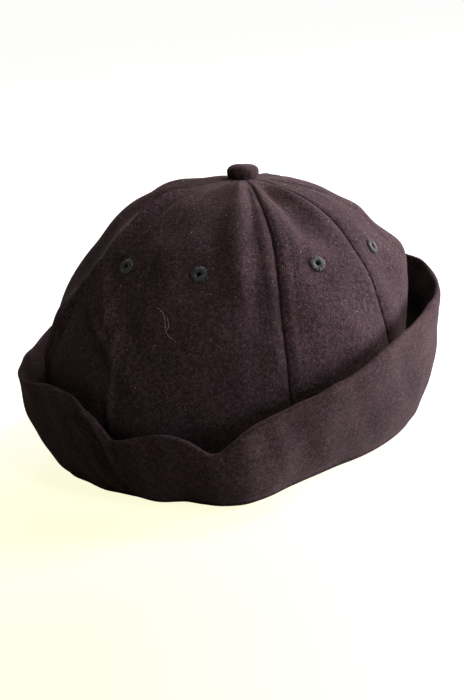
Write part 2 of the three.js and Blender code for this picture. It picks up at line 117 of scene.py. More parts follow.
# Sewing that only shows close by: the groove of a seam, the allowances pressed open beside it and the line
# of stitches that holds each one down. Stitches are drawn on seams that show at least STITCH_SHOW. All of it
# is smaller where a panel is less than NARROW_PANEL wide
GROOVE_DEPTH = 1.3
GROOVE_WIDTH = 0.5
ALLOWANCE_RISE = 0.28
ALLOWANCE_PLACE = 2.9
ALLOWANCE_WIDTH = 1.9
ALLOWANCE_WAVER = 0.25
ALLOWANCE_WAVER_LENGTH = 13
STITCH_PLACE = 6.0
STITCH_SINK = 0.24
STITCH_LINE_WIDTH = 0.6
STITCH_DIMPLE = 0.35
STITCH_PITCH = 2.9
STITCH_LENGTH = 1.8
STITCH_RADIUS = 0.15
STITCH_LIFT = -0.03
STITCH_SHOW = 0.5
STITCH_START = 16
STITCH_STOP = 8
STITCH_CLEAR = 6
PUCKER_RISE = 0.14
PUCKER_PITCH = 11
PUCKER_REACH = 9
PUCKER_WAVER = 0.4
PUCKER_WAVER_LENGTH = 17
NARROW_PANEL = 34
LEAST_SEWING_SCALE = 0.05

# Slow, uneven waves of the cloth. They set in below the button and above the floor
WAVE_RISE = 0.34
WAVE_LENGTHS = (16, 46)
WAVE_COUNT = 26
WAVE_START_LEVEL = 0.2
WAVE_FLOOR = 1
WAVE_FLOOR_SPAN = 8
CUFF_WAVE_SHARE = 1.2
CROWN_WAVE_SEED = 5
CUFF_WAVE_SEED = 9

# How far to each side a slope is taken, in degrees, levels, rises and, for an eyelet, shares and levels
AZIMUTH_STEP = 1
LEVEL_STEP = 0.01
RISE_STEP = 0.02
EYELET_STEP = 0.03

# Each seam's azimuth at the button, at the bend level and at the rim, how far it stands off the cloth as
# a share of SEAM_SINK, and how strongly its groove, allowances and stitches show
Seam = namedtuple("Seam", "top middle low stand show")
SEAMS = (
    Seam(top=-3.5, middle=1.5, low=4, stand=-1, show=0.9),
    Seam(top=30, middle=41.5, low=48, stand=-0.6, show=0.5),
    Seam(top=56, middle=73.5, low=84, stand=-0.6, show=0.5),
    Seam(top=116, middle=124, low=128, stand=-1, show=0.8),
    Seam(top=166, middle=174, low=173, stand=-1, show=0.8),
    Seam(top=220, middle=228, low=217, stand=-1, show=0.8),
    Seam(top=278, middle=286, low=256, stand=0.5, show=0.3),
    Seam(top=318, middle=310, low=305, stand=-0.4, show=0.25),
)

# Soft folds of the crown. The columns are the azimuths of a fold's line at level 0 and 1, its width in
# degrees, its height as a share of CROWN_FOLD_HEIGHT, the levels it runs between and the span it fades over
Fold = namedtuple("Fold", "top low width height start end fade")
CROWN_FOLDS = (
    Fold(-38, -15, 8, -0.45, 0.14, 0.62, 0.1),
    Fold(-22, -7, 7, 0.35, 0.14, 0.6, 0.1),
    Fold(-9, -5, 4, -0.25, 0.16, 0.8, 0.1),
    Fold(9, 41, 10, -0.7, 0.16, 0.55, 0.12),
    Fold(92, 92, 30, 2.6, 0.57, 0.7, 0.2),
    Fold(86, 82, 20, 0.68, 0.42, 0.51, 0.15),
    Fold(80, 80, 30, -1.1, 0.78, 0.95, 0.12),
    Fold(-95, -95, 26, 0.55, 0.34, 0.8, 0.2),
    Fold(-124, -118, 22, 0.78, 0.2, 0.44, 0.2),
    Fold(-75, -72, 5, 0.62, 0.24, 0.61, 0.14),
    Fold(-17, -115, 5, 0.62, 0.61, 0.84, 0.14),
    Fold(-92, -84, 8, -0.7, 0.26, 0.62, 0.14),
    Fold(-142, -17, 4, 0.45, 0.57, 0.73, 0.08),
    Fold(-175, -12, 4, 0.4, 0.63, 0.78, 0.08),
    Fold(150, 138, 14, -0.5, 0.2, 0.7, 0.15),
    Fold(205, 190, 12, 0.4, 0.3, 0.8, 0.15),
    Fold(246, 240, 12, -0.5, 0.2, 0.75, 0.15),
)

# Fine creases, with the same columns
FINE_CREASES = (
    Fold(-71, -71, 1.3, 0.5, 0.24, 0.54, 0.08),
    Fold(-41, -98, 1.4, 0.34, 0.54, 0.73, 0.08),
    Fold(-75.5, -75.5, 4, -0.22, 0.24, 0.6, 0.1),
    Fold(-116, -31, 1.5, 0.26, 0.58, 0.68, 0.06),
    Fold(-182, -8, 1.6, 0.28, 0.63, 0.74, 0.06),
    Fold(-38, -90, 1.4, 0.16, 0.44, 0.53, 0.06),
    Fold(-64, -56, 1.5, 0.24, 0.6, 0.72, 0.06),
    Fold(-54, -52, 1.6, 0.42, 0.7, 0.86, 0.08),
    Fold(-66, -60, 2.2, -0.16, 0.2, 0.42, 0.1),
    Fold(7, 30, 5, -0.24, 0.18, 0.52, 0.12),
    Fold(27, 42, 5, 0.16, 0.18, 0.5, 0.12),
    Fold(52, 56, 3, 0.1, 0.1, 0.36, 0.1),
    Fold(-30, -26, 3, -0.1, 0.1, 0.3, 0.1),
    Fold(130, 150, 3, 0.12, 0.12, 0.4, 0.1),
    Fold(190, 196, 2.6, -0.12, 0.12, 0.4, 0.1),
    Fold(250, 256, 3, 0.12, 0.12, 0.4, 0.1),
)

# The cuff round the cap. The columns are an azimuth and, there, the rim as a share of its own outline, the
# flare of CUFF_FLARE, the height of CUFF_HEIGHT and the belly of CUFF_BELLY
Section = namedtuple("Section", "azimuth rim flare height belly")
CUFF_SECTIONS = (
    Section(-180, 1.0, 1.08, 1.13, 1.0),
    Section(-150, 1.0, 0.97, 1.09, 0.9),
    Section(-131, 1.0, 0.86, 1.06, 1.0),
    Section(-114, 1.0, 0.93, 0.97, 1.2),
    Section(-95, 1.0, 0.95, 0.98, 1.2),
    Section(-80, 1.01, 0.86, 1.02, 1.1),
    Section(-68, 0.985, 0.72, 1.05, 1.0),
    Section(-60, 0.99, 0.67, 0.98, 0.8),
    Section(-53, 0.98, 0.63, 0.87, 0.6),
    Section(-47, 0.983, 0.57, 0.61, 0.6),
    Section(-37, 1.015, 0.56, 0.67, 0.7),
    Section(-30, 1.0, 0.84, 0.73, 0.6),
    Section(-24, 1.035, 0.7, 0.67, 0.6),
    Section(-18, 1.075, 0.58, 0.55, 0.7),
    Section(-13, 1.085, 0.56, 0.63, 0.7),
    Section(-7, 1.05, 0.64, 0.75, 0.7),
    Section(3, 0.96, 0.97, 0.84, 0.7),
    Section(12, 0.92, 1.17, 0.9, 0.8),
    Section(21, 0.905, 1.25, 0.97, 0.9),
    Section(33, 0.93, 1.14, 1.07, 1.0),
    Section(44, 0.956, 1.03, 1.14, 1.1),
    Section(55, 0.985, 1.06, 1.2, 1.1),
    Section(66, 1.013, 1.14, 1.24, 1.1),
    Section(80, 1.02, 1.25, 1.28, 1.1),
    Section(95, 1.02, 1.33, 1.37, 1.1),
    Section(115, 1.012, 1.28, 1.34, 1.0),
    Section(140, 1.006, 1.2, 1.22, 1.0),
)

# Creases up the cuff's face. The columns are a crease's azimuths at the rim and at the edge, its width in
# degrees and how far it goes out as a share of CUFF_FOLD_OUT. The fine ones are pinched lines
Crease = namedtuple("Crease", "low high width out")
CUFF_CREASES = (
    Crease(-43, -54, 3, 0.9),
    Crease(-50, -61, 3.5, -0.6),
    Crease(-60, -68, 4, 0.5),
)
FINE_CUFF_CREASES = (
    Crease(-44.5, -56, 1.5, 0.9),
    Crease(-50, -61, 3, -0.9),
    Crease(-70, -57, 1.3, 0.2),
    Crease(-35.5, -35, 2.4, 0.2),
    Crease(-31, -29, 2.2, -0.16),
    Crease(-9, -9.5, 2.2, -0.14),
    Crease(2, -3, 2.6, -0.2),
)

# How fast a fine crease of the cuff sets in above the rim and ends below the edge
FINE_CREASE_ENTRY = 5
FINE_CREASE_EXIT = 6

# Cloth: noise is in cells a metre, and tones and flecks are stops of a colour ramp
YARN_ALONG = 1000
YARN_ACROSS = 2300
YARN_CONTRAST = 0.13
GRAIN_SCALE = 1500
CLUMP_SCALE = 480
PATCH_SCALE = 38
WOVEN_TONES = ((0.2, (0.5, 0.48, 0.51)), (0.5, (0.95, 0.95, 0.95)), (0.8, (1.6, 1.57, 1.57)))
WORN_TONES = ((0.3, (0.8, 0.78, 0.82)), (0.7, (1.2, 1.17, 1.16)))
FLECKS = ((0.58, (0, 0, 0)), (0.74, (1, 1, 1)))
FLECK_PALENESS = 2.3
WEAVE_RELIEF = 0.35
GRAIN_RELIEF = 0.4
WOOL_RELIEF_DEPTH = 0.0004
SHEEN_TINT = (0.75, 0.62, 0.66, 1)
TWIST_SCALE = 3200
THREAD_PATCH_SCALE = 400
THREAD_TONES = ((0.35, (0.8, 0.8, 0.8)), (0.65, (1.15, 1.15, 1.15)))
THREAD_RELIEF = 0.5
THREAD_RELIEF_DEPTH = 0.0002

# Light: the room's strength, and the lamps round the cap, in degrees, metres and watts
ROOM_LIGHT = 0.035
ROOM_COLOUR = (1.0, 0.88, 0.82, 1)
SEEN_ROOM = (1.0, 1.0, 1.0, 1)
LAMP_REACH = 1.7
LAMP_AIM = (0, 0, 0.07)
Lamp = namedtuple("Lamp", "name azimuth elevation size power colour")
LAMPS = (
    Lamp(name="window", azimuth=86, elevation=2, size=0.9, power=80, colour=(1.0, 0.86, 0.9)),
    Lamp(name="high_right", azimuth=102, elevation=42, size=0.5, power=24, colour=(1.0, 0.82, 0.84)),
    Lamp(name="front", azimuth=40, elevation=2, size=0.8, power=13, colour=(0.96, 0.96, 1.0)),
    Lamp(name="left", azimuth=-100, elevation=10, size=0.4, power=0.8, colour=(1.0, 0.76, 0.56)),
    Lamp(name="high_front", azimuth=22, elevation=58, size=0.3, power=8, colour=(1.0, 0.84, 0.76)),
    Lamp(name="back", azimuth=170, elevation=35, size=0.5, power=3, colour=(1.0, 0.86, 0.75)),
)
FLOOR_GLOW = 0.97
FLOOR_SHADE = 0.42

# The floor and its cream patch, in metres and degrees
FLOOR_REACH = 40
CREAM_PLACE = (-0.15, -0.24, 0)
CREAM_TURN = -15
CREAM_REACH = (0.28, 0.5, 1)
FLOOR_TONES = ((0.0, (1.0, 1.0, 1.0)), (0.3, (1.0, 0.98, 0.74)), (0.8, (0.99, 0.96, 0.64)))
FLOOR_MOTTLE = ((0.3, (0.99, 0.988, 0.97)), (0.7, (1.0, 1.0, 1.0)))
FLOOR_MOTTLE_SCALE = 5.0

# How finely the visible pieces are drawn. CLOTH_STEP moves each panel on the flat cloth, so that no two have
# the same weave, and OUTWARD turns the cuff's normals away from its cloth
CLOTH_STEP = 310.0
PANEL_COLUMNS = 84
PANEL_ROWS = 150
PANEL_TIP_LEVEL = 0.02
SEAM_CROWDING = 1.6
CUFF_COLUMNS = 640
HOME_COLUMNS = 720
OUTWARD = -1
BUTTON_COLUMNS = 144
BUTTON_ROWS = 60
RIM_POINTS = 6
FACE_POINTS = 46
EDGE_POINTS = 8
INSIDE_POINTS = 32
INSIDE_FOOT = 0.14
NAP_INSIDE_POINTS = 24

# The hole cut in a panel for its eyelet, and how the eyelet's turns of thread stray, slant, reach and lift
HOLE_CUT_RADIUS = 2.3
EYELET_STRANDS = 46
EYELET_THREAD = 0.24
EYELET_SEED = 40
THREAD_STRAY = 0.25
THREAD_SLANT = 0.05
THREAD_REACH = (0.92, 1.04)
THREAD_LIFT = (0.55, 0.85)
THREAD_BACK_LIFT = 0.5

# Nap and lint, in millimetres. A tube ends in a blunt tip with TUBE_TIP of its section
TUBE_BLUNTNESS = 6
TUBE_TIP = 0.04
FIBRE_LENGTH = 0.95
FIBRE_LIMITS = (0.3, 2.4)
FIBRE_LIFT = (0.15, 1.0)
FIBRE_CURL = 0.5
FIBRE_WIDTH = 0.05
CROWN_FIBRES = 52000
CUFF_FIBRES = 46000
LINT_COUNT = 560
LINT_ON_CROWN = 0.68
LINT_SHARES = (0.04, 0.96)
LINT_LEVELS = (0.12, 0.84)
LINT_CUFF_ROWS = (1, 44)
LINT_LEAST = 0.16
LINT_SPREAD = 0.18
LINT_BEND = 1.4
LINT_RADIUS = (0.05, 0.14)
HAIR_PANEL = 7
HAIR_LIFT = 0.35
LONG_HAIR_RADIUS = 0.075
SHORT_HAIR_RADIUS = 0.06

# The one stray hair and its shorter end, as places on the crown
Place = namedtuple("Place", "azimuth level")
LONG_HAIR = (
    Place(azimuth=-41.5, level=0.634),
    Place(azimuth=-38.2, level=0.645),
    Place(azimuth=-36.8, level=0.665),
    Place(azimuth=-36, level=0.69),
    Place(azimuth=-31.5, level=0.71),
)
SHORT_HAIR = (
    Place(azimuth=-36.6, level=0.655),
    Place(azimuth=-35.2, level=0.672),
    Place(azimuth=-35.6, level=0.685),
)

# The camera, in the cap's own millimetres: where it looks, from where, and where the point it looks at
# lies in a picture 464 wide and 700 high
CAMERA_AZIMUTH = -12
CAMERA_ELEVATION = 16.5
CAMERA_ROLL = 7.5
CAMERA_DISTANCE = 700
CAMERA_TARGET = (0, 0, 52)
SENSOR_WIDTH = 36
PICTURE_SCALE = 1.81
PICTURE_HEIGHT = 700
PICTURE_MIDDLE = (232, 350)
TARGET_PIXEL = (224, 342)


def smooth(value):
    value = np.clip(value, 0, 1)
    return value * value * (3 - 2 * value)


def mix(start, end, share):
    return start + (end - start) * share


def hump(distance, width):
    """A smooth hump of height 1 and the given half width."""
    return np.exp(-((distance / width) ** 2))


def turn(degrees):
    """A turn brought to between -180 and 180 degrees."""
    return (degrees + 180) % 360 - 180


def unit(vectors):
    return vectors / np.linalg.norm(vectors, axis=-1, keepdims=True)


def ellipse_radius(azimuth, half_width, half_depth):
    angle = np.radians(azimuth)
    return 1 / np.hypot(np.sin(angle) / half_width, np.cos(angle) / half_depth)


def cuff_value(column, azimuth):
    """One column of the cuff's sections: a smooth closed curve that never overshoots its rows."""
    x = np.array([row.azimuth for row in CUFF_SECTIONS], float)
    y = np.array([getattr(row, column) for row in CUFF_SECTIONS])
    x = np.concatenate([x[-2:] - 360, x, x[:2] + 360])
    y = np.concatenate([y[-2:], y, y[:2]])
    span = np.diff(x)
    slope = np.diff(y) / span
    turning = slope[:-1] * slope[1:] <= 0
    safe = np.where(slope == 0, 1, slope)
    lean = (span[:-1] + span[1:]) / (span[:-1] / safe[:-1] + span[1:] / safe[1:])
    lean = np.concatenate([[0], np.where(turning, 0, lean), [0]])
    angle = turn(np.asarray(azimuth, float))
    i = np.clip(np.searchsorted(x, angle, side="right") - 1, 1, len(x) - 3)
    t = (angle - x[i]) / span[i]
    rise = (2 * t**3 - 3 * t**2 + 1) * y[i] + (3 * t**2 - 2 * t**3) * y[i + 1]
    return rise + ((t**3 - 2 * t**2 + t) * lean[i] + (t**3 - t**2) * lean[i + 1]) * span[i]


def rim_radius(azimuth):
    return ellipse_radius(azimuth, RIM_HALF_WIDTH, RIM_HALF_DEPTH) * cuff_value("rim", azimuth)


def level_at(height):
    """The level at which the upright crown would be at this height."""
    angle = np.arccos((height / CROWN_HEIGHT) ** (CROWN_POWER_UP / 2))
    return (angle / (np.pi / 2)) ** (2 / CROWN_POWER_OUT)


def around(azimuth, out, height):
    """A point at an azimuth, a distance from the cap's middle line and a height."""
    angle = np.radians(azimuth)
    return np.stack(np.broadcast_arrays(out * np.sin(angle), -out * np.cos(angle), height), -1)


def smooth_crown(azimuth, level):
    """The crown without seams or folds: a leaning, tilted dome that tapers into the rim's outline."""
    angle = np.radians(azimuth)
    profile = np.pi / 2 * level ** (CROWN_POWER_OUT / 2)
    out = np.maximum(np.sin(profile), 0) ** (2 / CROWN_POWER_OUT)
    up = np.maximum(np.cos(profile), 0) ** (2 / CROWN_POWER_UP)
    radius = ellipse_radius(azimuth, CROWN_HALF_WIDTH, CROWN_HALF_DEPTH) * out
    height = CROWN_HEIGHT * up
    z = height - radius * np.sin(angle) * np.tan(np.radians(CROWN_TILT)) * up
    dome = around(azimuth, radius, z)
    dome[..., 0] += CROWN_LEAN * up**CROWN_LEAN_POWER
    leg = around(azimuth, rim_radius(azimuth) - CUFF_WALL - FOLD_SLOT, z)
    return mix(dome, leg, (1 - smooth(height / TAPER_HEIGHT))[..., None])


def crown_normal(azimuth, level):
    across = smooth_crown(azimuth + AZIMUTH_STEP, level) - smooth_crown(azimuth - AZIMUTH_STEP, level)
    above = smooth_crown(azimuth, np.maximum(level - LEVEL_STEP, 0))
    down = smooth_crown(azimuth, level + LEVEL_STEP) - above
    return unit(np.cross(down, across))


def seam_azimuth(index, level):
    seam = SEAMS[index % len(SEAMS)]
    lap = 360 * (index // len(SEAMS))
    high = mix(seam.top, seam.middle, smooth(level / SEAM_BEND_LEVEL))
    low = mix(seam.middle, seam.low, smooth((level - SEAM_BEND_LEVEL) / (1 - SEAM_BEND_LEVEL)))
    return lap + np.where(level < SEAM_BEND_LEVEL, high, low)


def nearest_seam(panel, side):
    """The seam on a panel's left, side 0, or on its right, side 1."""
    return SEAMS[(panel + side) % len(SEAMS)]


def panel_span(panel, level):
    """The azimuth of a panel's left seam and the turn from there to its right one."""
    left = seam_azimuth(panel, level)
    return left, (seam_azimuth(panel + 1, level) - left) % 360


def panel_breadth(panel, level):
    """A panel's width in millimetres at a level."""
    left, width = panel_span(panel, level)
    radius = ellipse_radius(left, CROWN_HALF_WIDTH, CROWN_HALF_DEPTH) * level
    return np.radians(width) * radius


def fold_rise(folds, azimuth, level):
    rise = 0
    for fold in folds:
        centre = mix(fold.top, fold.low, level)
        ends = smooth((level - fold.start) / fold.fade + 0.5) * smooth((fold.end - level) / fold.fade + 0.5)
        rise = rise + CROWN_FOLD_HEIGHT * fold.height * hump(turn(azimuth - centre), fold.width) * ends
    return rise


def cloth_waves(points, seed):
    """Slow random waves through space, about 1 high, that never line up into a pattern."""
    rng = np.random.default_rng(seed)
    directions = unit(rng.normal(size=(WAVE_COUNT, 3)))
    lengths = rng.uniform(*WAVE_LENGTHS, WAVE_COUNT)
    phases = rng.uniform(0, 2 * np.pi, WAVE_COUNT)
    total = 0
    for direction, length, phase in zip(directions, lengths, phases):
        total = total + np.sin(points @ direction * 2 * np.pi / length + phase)
    return total / np.sqrt(WAVE_COUNT / 2)


def arc_down(panel):
    """Levels down a panel and the length of cloth above each, in millimetres, along its middle."""
    levels = np.linspace(0, 1, 200)
    left, width = panel_span(panel, levels)
    line = smooth_crown(left + width / 2, levels)
    steps = np.linalg.norm(np.diff(line, axis=0), axis=1)
    return levels, np.concatenate([[0], np.cumsum(steps)])


def panel_rise(panel, share, azimuth, level):
    """How far a panel's outer face stands off the smooth crown."""
    end_fade = smooth(level / SEAM_START_LEVEL) * smooth((1 - level) / SEAM_END_SPAN)
    left_stand = nearest_seam(panel, 0).stand * hump(share, SEAM_WIDTH)
    right_stand = nearest_seam(panel, 1).stand * hump(1 - share, SEAM_WIDTH)
    pillow = PANEL_SWELL * np.sin(np.pi * share) + SEAM_SINK * (left_stand + right_stand)
    eyelet_share = EYELET_SHARES[panel]
    stiff = hump(share - eyelet_share, STIFF_SHARE) * hump(level - EYELET_LEVEL, STIFF_LEVEL)
    left, width = panel_span(panel, EYELET_LEVEL)
    eyelet_folds = fold_rise(CROWN_FOLDS, left + width * eyelet_share, EYELET_LEVEL)
    folds = mix(fold_rise(CROWN_FOLDS, azimuth, level), eyelet_folds, stiff)
    fine = fold_rise(FINE_CREASES, azimuth, level) * (1 - stiff)
    return (pillow + folds) * end_fade + fine


def sewing_rise(panel, share, level):
    """The seams' groove, allowances, stitch lines and puckers on a panel's outer face."""
    breadth = panel_breadth(panel, level)
    scale = np.minimum(1, breadth / NARROW_PANEL)
    from_seam = np.minimum(share, 1 - share) * breadth / np.maximum(scale, LEAST_SEWING_SCALE)
    down = np.interp(level, *arc_down(panel))
    side = np.where(share < 0.5, 1.0, -1.0)
    show = np.where(share < 0.5, nearest_seam(panel, 0).show, nearest_seam(panel, 1).show)
    groove = -GROOVE_DEPTH * hump(from_seam, GROOVE_WIDTH)
    allowance = ALLOWANCE_RISE * hump(from_seam - ALLOWANCE_PLACE, ALLOWANCE_WIDTH)
    waver = np.sin(down / ALLOWANCE_WAVER_LENGTH + panel * 2.1 + side)
    allowance = allowance * (1 + ALLOWANCE_WAVER * waver)
    dimples = 1 - STITCH_DIMPLE + STITCH_DIMPLE * np.cos(2 * np.pi * down / STITCH_PITCH)
    stitches = -STITCH_SINK * hump(from_seam - STITCH_PLACE, STITCH_LINE_WIDTH) * dimples
    pucker = PUCKER_RISE * np.sin(2 * np.pi * down / PUCKER_PITCH + panel + side * 0.8)
    pucker = pucker * hump(from_seam - ALLOWANCE_PLACE, PUCKER_REACH)
    waver = np.sin(down / PUCKER_WAVER_LENGTH + panel * 1.7)
    pucker = pucker * (1 - PUCKER_WAVER + PUCKER_WAVER * waver)
    return (groove + allowance + stitches + pucker) * scale * show


def panel_points(panel, share, level, depth=0.0, sewn=True):
    """Points of a panel's cloth at a depth below its outer face, with the way each faces."""
    left, width = panel_span(panel, level)
    azimuth = left + width * share
    base = smooth_crown(azimuth, level)
    normal = crown_normal(azimuth, level)
    waves = WAVE_RISE * cloth_waves(base, CROWN_WAVE_SEED) * smooth(level / WAVE_START_LEVEL)
    rise = panel_rise(panel, share, azimuth, level) + waves
    if sewn:
        rise = rise + sewing_rise(panel, share, level)
    return base + normal * (rise - depth)[..., None], normal


def cuff_face(azimuth, rise):
    """The cuff's outer face as distance out and height."""
    flare = CUFF_FLARE * cuff_value("flare", azimuth) * rise
    belly = CUFF_BELLY * cuff_value("belly", azimuth) * np.sin(np.pi * rise**BELLY_POWER)
    crease = 0
    for fold in CUFF_CREASES:
        centre = mix(fold.low, fold.high, rise)
        line = hump(turn(azimuth - centre), fold.width)
        crease = crease + CUFF_FOLD_OUT * fold.out * line * mix(CREASE_FOOT, 1, rise)
    height = CUFF_HEIGHT * cuff_value("height", azimuth)
    return np.stack([rim_radius(azimuth) + flare + belly + crease, mix(RIM_OUTER_ROUND, height, rise)], -1)


def cuff_inward(azimuth, rise):
    """The unit vector into the cloth, as distance out and height."""
    below = cuff_face(azimuth, np.maximum(rise - RISE_STEP, 0))
    along = cuff_face(azimuth, np.minimum(rise + RISE_STEP, 1)) - below
    return unit(np.stack([-along[..., 1], along[..., 0]], -1))


class Outline:
    """Collects the points of the cuff's section, each for every azimuth at once."""

    def __init__(self, azimuth):
        self.azimuth = azimuth
        self.points = []

    def add(self, out, height):
        self.points.append(around(self.azimuth, out, height))

    def add_flat(self, point):
        self.add(point[..., 0], point[..., 1])

    def arc(self, out, height, radius, start, end, count):
        """A round stretch about a centre. Angles are in degrees, 0 straight out and 90 up."""
        for angle in np.radians(np.linspace(start, end, count)):
            self.add(out + radius * np.cos(angle), height + radius * np.sin(angle))


def cuff_grid(azimuth):
    """The cuff's closed section at each azimuth: rim, outer face, edge, inner face, slot and leg."""
    outline = Outline(azimuth)
    rim = rim_radius(azimuth)
    outline.arc(rim - RIM_OUTER_ROUND, RIM_OUTER_ROUND, RIM_OUTER_ROUND, -90, -15, RIM_POINTS)
    for rise in np.linspace(0, 1, FACE_POINTS):
        outline.add_flat(cuff_face(azimuth, rise))
    inward = cuff_inward(azimuth, 1.0)
    edge = cuff_face(azimuth, 1.0) + inward * CUFF_WALL / 2
    upward = np.stack([inward[..., 1], -inward[..., 0]], -1)
    for angle in np.radians(np.linspace(20, 160, EDGE_POINTS)):
        outline.add_flat(edge + (upward * np.sin(angle) - inward * np.cos(angle)) * CUFF_WALL / 2)
    for rise in np.linspace(1, INSIDE_FOOT, INSIDE_POINTS):
        outline.add_flat(cuff_face(azimuth, rise) + cuff_inward(azimuth, rise) * CUFF_WALL)
    leg_outside = rim - CUFF_WALL - FOLD_SLOT
    leg_inside = leg_outside - LEG_WALL
    for share in (0.85, 0.5, 0.15):
        outline.add(leg_outside + FOLD_SLOT * share, np.full_like(azimuth, SLOT_FLOOR))
    for sink, start, end in ((0, LEG_OUTER_FOOT, LEG_HEIGHT), (LEG_WALL, LEG_HEIGHT, LEG_INNER_FOOT)):
        for height in np.linspace(start, end, 10):
            leg = smooth_crown(azimuth, np.full_like(azimuth, level_at(height)))
            outline.points.append(leg - around(azimuth, sink, 0))
    outline.arc(leg_inside + RIM_INNER_ROUND, RIM_INNER_ROUND, RIM_INNER_ROUND, -180, -90, 5)
    return np.stack(outline.points, 1), RIM_POINTS, RIM_POINTS + FACE_POINTS


def grid_normals(points, closed_round, closed_across):
    """The normals of a grid of points, from its neighbours each way."""
    def neighbours(axis, closed):
        if closed:
            return np.roll(points, -1, axis) - np.roll(points, 1, axis)
        return np.gradient(points, axis=axis)
    normal = np.cross(neighbours(0, closed_round), neighbours(1, closed_across))
    return normal / np.maximum(np.linalg.norm(normal, axis=-1, keepdims=True), 1e-9)


def grid_faces(rows, columns, closed_round=False, closed_across=False):
    """Quads of a grid whose points are numbered row by row."""
    i = np.arange(rows if closed_round else rows - 1)
    j = np.arange(columns if closed_across else columns - 1)
    i, j = (side.ravel() for side in np.meshgrid(i, j, indexing="ij"))
    after_i, after_j = (i + 1) % rows, (j + 1) % columns
    corners = (i * columns + j, after_i * columns + j, after_i * columns + after_j, i * columns + after_j)
    return np.stack(corners, -1)


def put_in_scene(name, data):
    thing = bpy.data.objects.new(name, data)
    bpy.context.scene.collection.objects.link(thing)
    return thing


def make_mesh(name, points, faces, material, cloth=None):
    """A mesh object from points in the cap's own millimetres, riding on the frame. Cloth is each point's
    place on the flat cloth, across and along it, and becomes the UV map that the weave follows."""
    mesh = bpy.data.meshes.new(name)
    placed = (points.reshape(-1, 3) + HOME) * MM
    faces = np.asarray(faces)
    sides = faces.shape[1]
    mesh.vertices.add(len(placed))
    mesh.vertices.foreach_set("co", placed.ravel())
    mesh.loops.add(faces.size)
    mesh.loops.foreach_set("vertex_index", faces.ravel())
    mesh.polygons.add(len(faces))
    mesh.polygons.foreach_set("loop_start", np.arange(0, faces.size, sides))
    mesh.polygons.foreach_set("loop_total", np.full(len(faces), sides))
    mesh.update(calc_edges=True)
    mesh.polygons.foreach_set("use_smooth", np.ones(len(mesh.polygons), bool))
    if cloth is not None:
        layer = mesh.uv_layers.new(name="cloth")
        layer.data.foreach_set("uv", (cloth.reshape(-1, 2)[faces.ravel()] * MM).ravel())
    mesh.materials.append(material)
    piece = put_in_scene(name, mesh)
    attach(piece, "root")
    return piece


class Strands:
    """Collects thin tubes into one mesh."""

    def __init__(self):
        self.points = []
        self.faces = []
        self.count = 0

    def tube(self, line, radius, sides=6):
        """A tube along a line of points, narrowed to a small opening at each end."""
        line = np.asarray(line, float)
        along = unit(np.gradient(line, axis=0))
        helper = np.array([0.0, 0.0, 1.0]) if abs(along[0, 2]) < 0.9 else np.array([1.0, 0.0, 0.0])
        side = unit(np.cross(along, helper))
        other = np.cross(along, side)
        ends = np.linspace(-1, 1, len(line))
        radii = radius * np.sqrt(np.clip(1 - np.abs(ends) ** TUBE_BLUNTNESS, TUBE_TIP, 1))
        angles = np.linspace(0, 2 * np.pi, sides, endpoint=False)[None, :, None]
        ring = side[:, None] * np.cos(angles) + other[:, None] * np.sin(angles)
        points = line[:, None] + ring * radii[:, None, None]
        faces = grid_faces(len(line), sides, closed_across=True) + self.count
        self.points.append(points.reshape(-1, 3))
        self.faces.append(faces)
        self.count += len(line) * sides

    def build(self, name, material, slot):
        return make_mesh(name, np.concatenate(self.points), np.concatenate(self.faces), material)


def nodes_of(material):
    material.use_nodes = True
    tree = material.node_tree
    return tree, tree.nodes["Principled BSDF"]


def noise(tree, coordinates, scale, detail, roughness=0.6):
    node = tree.nodes.new("ShaderNodeTexNoise")
    node.inputs["Scale"].default_value = scale
    node.inputs["Detail"].default_value = detail
    node.inputs["Roughness"].default_value = roughness
    tree.links.new(coordinates, node.inputs["Vector"])
    return node.outputs["Fac"]


def ramp(tree, value, stops):
    """A colour ramp with (place, colour) stops."""
    node = tree.nodes.new("ShaderNodeValToRGB")
    while len(node.color_ramp.elements) < len(stops):
        node.color_ramp.elements.new(0.5)
    for element, (place, colour) in zip(node.color_ramp.elements, stops):
        element.position = place
        element.color = (*colour, 1)
    tree.links.new(value, node.inputs["Fac"])
    return node.outputs["Color"]


def blend_colours(tree, share, first, second, kind="MIX"):
    node = tree.nodes.new("ShaderNodeMix")
    node.data_type = "RGBA"
    node.blend_type = kind
    for socket, value in (("Factor", share), ("A", first), ("B", second)):
        target = next(s for s in node.inputs if s.name == socket and s.enabled)
        if isinstance(value, bpy.types.NodeSocket):
            tree.links.new(value, target)
        else:
            target.default_value = value
    return next(s for s in node.outputs if s.enabled)


def tinted(tree, first, second):
    return blend_colours(tree, 1.0, first, second, "MULTIPLY")


def stretched(tree, coordinates, scale, turned):
    """Coordinates turned and stretched, so that noise on them reads as short lying fibres."""
    node = tree.nodes.new("ShaderNodeMapping")
    node.inputs["Scale"].default_value = scale
    node.inputs["Rotation"].default_value = turned
    tree.links.new(coordinates, node.inputs["Vector"])
    return node.outputs["Vector"]


def bump(tree, height, strength, distance, under=None):
    node = tree.nodes.new("ShaderNodeBump")
    node.inputs["Strength"].default_value = strength
    node.inputs["Distance"].default_value = distance
    tree.links.new(height, node.inputs["Height"])
    if under is not None:
        tree.links.new(under, node.inputs["Normal"])
    return node.outputs["Normal"]


def yarns(tree, cloth, along, across, contrast):
    """Uneven yarns of a felted weave that run one way: long noise cells, with some contrast."""
    fine = noise(tree, stretched(tree, cloth, (along, across, 1), (0, 0, 0)), 1.0, 2, 0.55)
    return ramp(tree, fine, [(0.5 - contrast, (0, 0, 0)), (0.5 + contrast, (1, 1, 1))])


